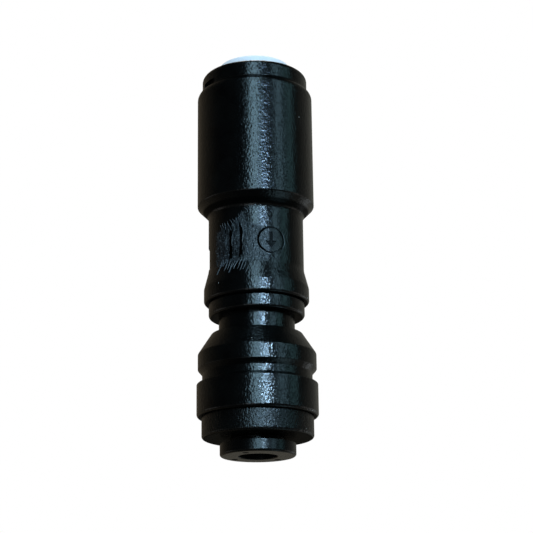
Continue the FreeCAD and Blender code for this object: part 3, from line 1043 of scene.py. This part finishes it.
@dataclass(frozen=True)
class Waist:
    """What a gripping tool has raised on the main body's waist."""

    lips: tuple[Ridge, ...] = (
        Ridge((-18.9, 37.9 * MM), (-17.9, 33.0 * MM), 0.20 * MM, 0.07 * MM, 0.5, 16, 3.1),
        Ridge((-29.8, 36.9 * MM), (-30.4, 32.6 * MM), 0.15 * MM, 0.05 * MM, 0.6, 14, 1.2),
        Ridge((-37.6, 36.4 * MM), (-36.8, 33.4 * MM), 0.13 * MM, 0.04 * MM, 0.6, 12, -1.0),
        Ridge((-28.6, 38.2 * MM), (-25.2, 36.4 * MM), 0.14 * MM, 0.05 * MM, 0.5, 10),
    )
    scratches: tuple[Ridge, ...] = (
        Ridge((4.0, 41.0 * MM), (12.5, 39.6 * MM), 0.24 * MM, 0.07 * MM, 0.4, 14),
        Ridge((12.0, 39.9 * MM), (15.5, 37.9 * MM), 0.22 * MM, 0.07 * MM, 0.4, 12),
        Ridge((-4.0, 40.9 * MM), (1.5, 40.4 * MM), 0.30 * MM, 0.08 * MM, 0.9, 10),
        Ridge((-9.0, 40.6 * MM), (-4.5, 40.7 * MM), 0.26 * MM, 0.07 * MM, 0.9, 8),
        Ridge((6.0, 32.2 * MM), (2.5, 31.0 * MM), 0.18 * MM, 0.05 * MM),
        Ridge((10.0, 32.0 * MM), (7.0, 31.1 * MM), 0.16 * MM, 0.05 * MM),
        Ridge((31.2, 36.6 * MM), (31.2, 33.1 * MM), 0.11 * MM, 0.035 * MM, 0.2, 16, 4.6),
        Ridge((7.0, 33.1 * MM), (25.0, 32.7 * MM), 0.10 * MM, 0.03 * MM, 0.2, 16),
    )
    comb: Strokes = Strokes(
        angles=(-44.0, 6.0), count=16, drop=2.25 * MM, lean=-6.0, width=0.16 * MM, rise=0.09 * MM,
        drop_play=(0.55, 1.25), lean_play=(0.6, 1.2), waver=0.3, steps=14,
    )
    comb_heights: Range = (31.9 * MM, 31.2 * MM)
    comb_angle_play: float = 1.2
    comb_height_play: float = 0.4 * MM
    fringe: Strokes = Strokes(
        angles=(-48.0, -6.0), count=12, drop=1.5 * MM, lean=4.4, width=0.12 * MM, rise=0.04 * MM,
    )
    fringe_height: float = 39.0 * MM
    fringe_rises_from: float = -25.0
    fringe_rise: float = 0.145 * MM
    fringe_fall: float = 0.03 * MM
    fringe_top: float = 40.7 * MM
    seed: int = 11

    def ridges(self, dice: random.Random) -> list[Ridge]:
        """List the burrs.

        Args:
            dice: Source of their unevenness.

        Returns:
            The lips of the bites, scratches, the comb below the bites and the fringe above.
        """
        made = [*self.lips, *self.scratches]
        for share in self.comb.shares():
            aside = dice.uniform(-self.comb_angle_play, self.comb_angle_play)
            above = dice.uniform(-self.comb_height_play, self.comb_height_play)
            angle = between(self.comb.angles, share) + aside
            made.append(self.comb.stroke(angle, between(self.comb_heights, share) + above, dice))
        for share in self.fringe.shares():
            angle = between(self.fringe.angles, share)
            beyond = angle - self.fringe_rises_from
            slope = self.fringe_rise if beyond > 0.0 else self.fringe_fall
            top = min(self.fringe_height + beyond * slope, self.fringe_top)
            made.append(self.fringe.stroke(angle, top, dice))
        return made

    def build(self, skin: Skin, wardrobe: Wardrobe) -> None:
        """Build the burrs as one piece.

        Args:
            skin: The main body's wall.
            wardrobe: The finishes.
        """
        dice = random.Random(self.seed)
        mesh = bmesh.new()
        for ridge in self.ridges(dice):
            ridge.build(mesh, skin, dice)
        add_piece("waist_burrs", mesh, wardrobe.torn_black)


@dataclass(frozen=True)
class WeldBead:
    """Thin flash of the weld under the inlet cap's flange, open where the seam is."""

    ring_radius: float = 9.12 * MM
    height: float = 64.0 * MM
    section: float = 0.13 * MM
    unevenness: float = 0.12
    seam: Range = (-72.0, -50.0)
    steps: int = 240
    sides: int = 10
    seed: int = 23

    def build(self, wardrobe: Wardrobe) -> None:
        """Lay the flash from one end of the open seam round to the other.

        Args:
            wardrobe: The finishes.
        """
        dice = random.Random(self.seed)
        mesh = bmesh.new()
        rings = []
        for step in range(self.steps + 1):
            away = outward(between((self.seam[1], self.seam[0] + 360.0), step / self.steps))
            centre = away * self.ring_radius + upward(self.height)
            section = self.section * dice.uniform(1.0 - self.unevenness, 1.0)
            rings.append(loop_around(mesh, centre, away, section, self.sides))
        close_tube(mesh, rings)
        add_piece("inlet_weld_bead", mesh, wardrobe.smooth_black)


@dataclass(frozen=True)
class MainBody:
    """The upper moulding, its cap, its tube seal and its white collet."""

    waist: Waist = Waist()
    bead: WeldBead = WeldBead()

    def build(self, nodes: Nodes, wardrobe: Wardrobe) -> None:
        """Dress the inlet side and raise the burrs on the waist.

        Args:
            nodes: The frame's nodes by name.
            wardrobe: The finishes.
        """
        dress(nodes, wardrobe.bruised_black, "main_body")
        dress(nodes, wardrobe.smooth_black, "inlet_end_cap")
        dress(nodes, wardrobe.natural, "inlet_spacer")
        dress(nodes, wardrobe.rubber, "inlet_o_ring")
        dress(nodes, wardrobe.white, "inlet_collet")
        dress(nodes, wardrobe.steel, "inlet_collet_teeth")
        self.waist.build(Skin(nodes["main_body"]), wardrobe)
        self.bead.build(wardrobe)


@dataclass(frozen=True)
class OutletEnd:
    """The lower moulding, its cap, its tube seal and its black collet."""

    def build(self, nodes: Nodes, wardrobe: Wardrobe) -> None:
        """Dress the outlet side.

        Args:
            nodes: The frame's nodes by name.
            wardrobe: The finishes.
        """
        dress(nodes, wardrobe.smooth_black, "outlet_body")
        dress(nodes, wardrobe.grained_black, "outlet_end_cap")
        dress(nodes, wardrobe.natural, "outlet_spacer")
        dress(nodes, wardrobe.rubber, "outlet_o_ring")
        dress(nodes, wardrobe.worn_black, "outlet_collet")
        dress(nodes, wardrobe.steel, "outlet_collet_teeth")


@dataclass(frozen=True)
class Cartridge:
    """The valve cartridge with its poppet and spring."""

    wire: float = 0.35 * MM
    active_turns: int = 4
    steps_per_turn: int = 40
    wire_sides: int = 12
    closed_pitch: float = 1.03
    lift_joint: str = "poppet_lift"

    def build(self, frame: dict[str, Any], wardrobe: Wardrobe) -> None:
        """Dress the cartridge and wind its spring.

        Args:
            frame: What the frame holds.
            wardrobe: The finishes.
        """
        nodes = frame["nodes"]
        acetal = ("cartridge_seat", "cartridge_cage", "poppet", "poppet_nose")
        dress(nodes, wardrobe.natural, *acetal)
        dress(nodes, wardrobe.rubber, "cartridge_o_ring", "poppet_seal")
        dress(nodes, wardrobe.steel, "valve_spring")
        lift = next(joint for joint in frame["joints"] if joint["name"] == self.lift_joint)
        self.wind_spring(max(lift["range_m"]), wardrobe)

    def wind_spring(self, lift: float, wardrobe: Wardrobe) -> None:
        """Wind the spring with closed ends.

        Args:
            lift: How far the poppet opens.
            wardrobe: The finishes.
        """
        low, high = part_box("valve_spring")
        radius = (high.x - low.x - self.wire) / 2
        foot = low.z + self.wire / 2
        height = high.z - low.z - self.wire
        turns = self.active_turns + 2
        closed = self.wire * self.closed_pitch
        rise = (height - 2 * closed) / self.active_turns
        mesh = bmesh.new()
        rings = []
        for step in range(turns * self.steps_per_turn + 1):
            turn = step / self.steps_per_turn
            ends = min(turn, 1.0) + max(turn - 1.0 - self.active_turns, 0.0)
            middle = min(max(turn - 1.0, 0.0), self.active_turns)
            angle = turn * math.tau
            centre_z = foot + ends * closed + middle * rise
            away = Vector((math.cos(angle), math.sin(angle), 0.0))
            centre = away * radius + upward(centre_z)
            rings.append(loop_around(mesh, centre, away, self.wire / 2, self.wire_sides))
        close_tube(mesh, rings)
        spring = add_piece("valve_spring_coil", mesh, wardrobe.steel)
        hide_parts("valve_spring")
        keep = 1.0 - lift / (high.z - low.z)
        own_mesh(spring)


@dataclass(frozen=True)
class Swarf:
    """Pale crumbs of plastic that stick to the black mouldings.

    Each place is given by the moulding's node, an angle and a height.
    """

    places: tuple[tuple[str, float, float], ...] = (
        ("main_body", -44.7, 27.9 * MM),
        ("main_body", 49.0, 57.1 * MM),
        ("main_body", 74.0, 26.2 * MM),
        ("outlet_body", -5.2, 17.8 * MM),
        ("outlet_body", 62.0, 6.7 * MM),
        ("outlet_end_cap", 57.4, 3.7 * MM),
    )
    size: float = 0.07 * MM
    flattening: float = 0.55
    unevenness: Range = (0.75, 1.15)
    seed: int = 5

    def build(self, nodes: Nodes, wardrobe: Wardrobe) -> None:
        """Set each crumb on its wall.

        Args:
            nodes: The frame's nodes by name.
            wardrobe: The finishes.
        """
        dice = random.Random(self.seed)
        mesh = bmesh.new()
        for name, angle, height in self.places:
            point, normal = Skin(nodes[name]).at(angle, height)
            made = bmesh.ops.create_icosphere(mesh, subdivisions=2, radius=self.size)
            for vertex in made["verts"]:
                out = vertex.co.dot(normal)
                vertex.co -= normal * out * self.flattening
                vertex.co *= dice.uniform(*self.unevenness)
                vertex.co += point
        add_piece("swarf_crumbs", mesh, wardrobe.swarf)


@dataclass(frozen=True)
class Lamp:
    """A rectangular soft lamp that faces the valve."""

    name: str
    azimuth: float
    elevation: float
    width: float
    height: float
    watts: float
    colour: Colour
    distance: float = 0.60

    def build(self, aim: Vector) -> None:
        """Hang the lamp.

        Args:
            aim: The point that it faces.
        """
        rise = math.radians(self.elevation)
        away = outward(self.azimuth) * math.cos(rise) + upward(math.sin(rise))
        data = bpy.data.lights.new(self.name, "AREA")
        data.shape = "RECTANGLE"
        data.size = self.width
        data.size_y = self.height
        data.energy = self.watts
        data.color = self.colour
        lamp = put_in_scene(self.name, data)
        lamp.location = aim + away * self.distance
        lamp.rotation_mode = "QUATERNION"
        lamp.rotation_quaternion = away.to_track_quat("Z", "Y")
        lamp.visible_camera = False


@dataclass(frozen=True)
class Viewpoint:
    """The camera, a little below the valve, as the photograph was taken."""

    distance: float = 250 * MM
    look_up: float = 16.6
    roll: float = -0.56
    aim_height: float = 33.4 * MM
    nearest: float = 5 * MM
    focal_px: float = 1467.0
    aim_x_px: float = 256.2
    aim_y_px: float = 261.5

    def build(self) -> None:
        """Place the camera and make it the scene's own."""
        tilt = math.radians(self.look_up)
        ahead = Vector((0.0, math.cos(tilt), math.sin(tilt)))
        data = bpy.data.cameras.new("photo camera")
        data.sensor_width = SENSOR_MM
        data.lens = SENSOR_MM * self.focal_px / PHOTO_SIDE_PX
        data.shift_x = (PHOTO_SIDE_PX / 2 - self.aim_x_px) / PHOTO_SIDE_PX
        data.shift_y = (self.aim_y_px - PHOTO_SIDE_PX / 2) / PHOTO_SIDE_PX
        data.clip_start = self.nearest
        camera = put_in_scene("photo camera", data)
        camera.location = upward(self.aim_height) - ahead * self.distance
        camera.rotation_mode = "QUATERNION"
        lean = Quaternion((0.0, 0.0, 1.0), math.radians(self.roll))
        camera.rotation_quaternion = ahead.to_track_quat("-Z", "Y") @ lean
        bpy.context.scene.camera = camera


@dataclass(frozen=True)
class Room:
    """What surrounds the valve: a white ground for the eye, a dim warm room for gloss.

    The ranges say where a wall or the table comes in, along the part of the direction
    that points right, back or up.
    """

    white: Colour = (1.0, 1.0, 1.0)
    plain: Colour = (0.40, 0.42, 0.44)
    plain_behind: Colour = (0.66, 0.66, 0.65)
    dark: Colour = (0.004, 0.005, 0.006)
    warm: Colour = (0.125, 0.104, 0.074)
    cooler: Colour = (0.20, 0.20, 0.175)
    table: Colour = (0.06, 0.058, 0.054)
    cooler_right: Range = (-0.3, 0.3)
    walls_back: Range = (-0.15, 0.75)
    walls_up: Range = (0.9, 0.72)
    table_back: Range = (0.55, 0.1)
    table_down: Range = (-0.08, -0.2)
    table_foot: Range = (-0.7, -0.5)
    plain_back: Range = (-0.1, 0.6)

    def build(self) -> None:
        """Make the world."""
        world = bpy.data.worlds.new("room")
        bpy.context.scene.world = world
        world.use_nodes = True
        graph = Graph(world.node_tree)
        direction = graph.node("ShaderNodeTexCoord").outputs["Generated"]
        right, back, up = graph.axes(direction)
        far_wall = graph.blend(right.ramped(*self.cooler_right), self.warm, self.cooler)
        on_walls = back.ramped(*self.walls_back) * up.ramped(*self.walls_up)
        walls = graph.blend(on_walls, self.dark, far_wall)
        on_table = up.ramped(*self.table_down) * up.ramped(*self.table_foot)
        gloss = graph.blend(on_table * back.ramped(*self.table_back), walls, self.table)
        rays = graph.node("ShaderNodeLightPath")
        plain = graph.blend(back.ramped(*self.plain_back), self.plain, self.plain_behind)
        lit = graph.blend(graph.signal(rays, "Is Glossy Ray"), plain, gloss)
        through = graph.signal(rays, "Is Transmission Ray")
        seen = graph.signal(rays, "Is Camera Ray").at_least(through)
        colour = graph.blend(seen, lit, self.white)
        background = graph.node("ShaderNodeBackground", inputs={"Color": colour, "Strength": 1.0})
        graph.surface(background.outputs[0], "ShaderNodeOutputWorld")


@dataclass(frozen=True)
class Floor:
    """A pale floor that keeps the valve's shadow and can be looked through from below."""

    radius: float = 1.6
    solid_radius: float = 0.24
    clear_radius: float = 0.70
    sides: int = 96
    paint: Colour = (0.62, 0.60, 0.58)
    mottle_size: float = 0.02
    mottle_shade: float = 0.98
    lift: float = 0.34

    def build(self) -> None:
        """Lay the floor."""
        mesh = bmesh.new()
        bmesh.ops.create_circle(mesh, cap_ends=True, segments=self.sides, radius=self.radius)
        data = bpy.data.meshes.new("floor")
        mesh.to_mesh(data)
        mesh.free()
        data.materials.append(self.material())
        put_in_scene("floor", data)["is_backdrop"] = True

    def material(self) -> bpy.types.Material:
        """Make the floor's paint, which only the eye sees, from above, and which fades out.

        Returns:
            The material.
        """
        material, graph = new_material("pale floor")
        place = graph.place()
        shaded = tuple(self.mottle_shade * part for part in self.paint)
        paint = graph.blend(graph.noise(place, self.mottle_size), self.paint, shaded)
        diffuse = graph.node("ShaderNodeBsdfDiffuse", inputs={"Color": paint}).outputs[0]
        glow = graph.node("ShaderNodeEmission", inputs={"Strength": self.lift}).outputs[0]
        solid = graph.node("ShaderNodeAddShader", inputs={0: diffuse, 1: glow}).outputs[0]
        clear = graph.node("ShaderNodeBsdfTransparent").outputs[0]
        back = graph.signal(graph.node("ShaderNodeNewGeometry"), "Backfacing")
        eye = graph.signal(graph.node("ShaderNodeLightPath"), "Is Camera Ray")
        x, y, _ = graph.axes(place)
        fade = graph.maths("SQRT", x * x + y * y).ramped(self.clear_radius, self.solid_radius)
        shown = eye * (1.0 - back) * fade
        mixed = graph.node("ShaderNodeMixShader", inputs={0: shown, 1: clear, 2: solid})
        graph.surface(mixed.outputs[0])
        return material


@dataclass(frozen=True)
class Studio:
    """Lamps, room, floor and camera.

    Each lamp is given by its name, azimuth, elevation, width, height, watts, colour and,
    where it differs from the others, distance.
    """

    aim_height: float = 34 * MM
    lamps: tuple[Lamp, ...] = (
        Lamp("window", -1.0, 17.0, 0.12, 0.40, 1.14, (0.46, 0.79, 1.0)),
        Lamp("sky", 0.0, 48.0, 0.18, 0.24, 0.60, (0.46, 0.79, 1.0)),
        Lamp("blue strip", 17.0, 15.2, 0.030, 0.090, 0.44, (0.34, 0.60, 1.0)),
        Lamp("glint", 17.0, 10.8, 0.030, 0.024, 0.85, (0.50, 0.78, 1.0)),
        Lamp("side strip", 48.0, 24.0, 0.11, 0.50, 0.42, (0.45, 0.80, 1.0)),
        Lamp("far strip", 72.0, 20.0, 0.12, 0.40, 0.15, (0.40, 0.85, 0.95)),
        Lamp("chamfer glow", 78.0, -58.0, 0.18, 0.18, 0.07, (0.50, 0.85, 1.0), 0.50),
        Lamp("ceiling", 0.0, 63.0, 0.13, 0.18, 0.25, (0.46, 0.79, 1.0)),
        Lamp("top box", 180.0, 62.0, 0.22, 0.22, 0.60, (1.0, 0.95, 0.88), 0.70),
        Lamp("low left", -100.0, -15.0, 0.36, 0.14, 0.055, (1.0, 0.97, 0.92)),
        Lamp("low right", 100.0, -15.0, 0.36, 0.14, 0.055, (1.0, 0.97, 0.92)),
        Lamp("low back", 132.0, -15.0, 0.10, 0.30, 0.07, (0.85, 0.93, 1.0)),
        Lamp("low front", -14.0, -14.0, 0.20, 0.22, 0.14, (0.80, 0.93, 1.0)),
    )

    def build(self) -> None:
        """Light the scene and set the camera."""
        Room().build()
        Floor().build()
        Viewpoint().build()
        for lamp in self.lamps:
            lamp.build(upward(self.aim_height))
        bpy.context.scene.view_settings.view_transform = "Standard"


def corners() -> list[list[float]]:
    """Give the whole object's lowest and highest corners as plain lists."""
    return [list(corner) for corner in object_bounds()]


def main() -> None:
    """Load the frame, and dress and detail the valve."""
    logging.basicConfig(level=logging.INFO, format="%(name)s: %(message)s")
    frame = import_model()
    wardrobe = Wardrobe()
    Studio().build()
    MainBody().build(frame["nodes"], wardrobe)
    OutletEnd().build(frame["nodes"], wardrobe)
    Cartridge().build(frame, wardrobe)
    Swarf().build(frame["nodes"], wardrobe)


if __name__ == "__main__":
    main()
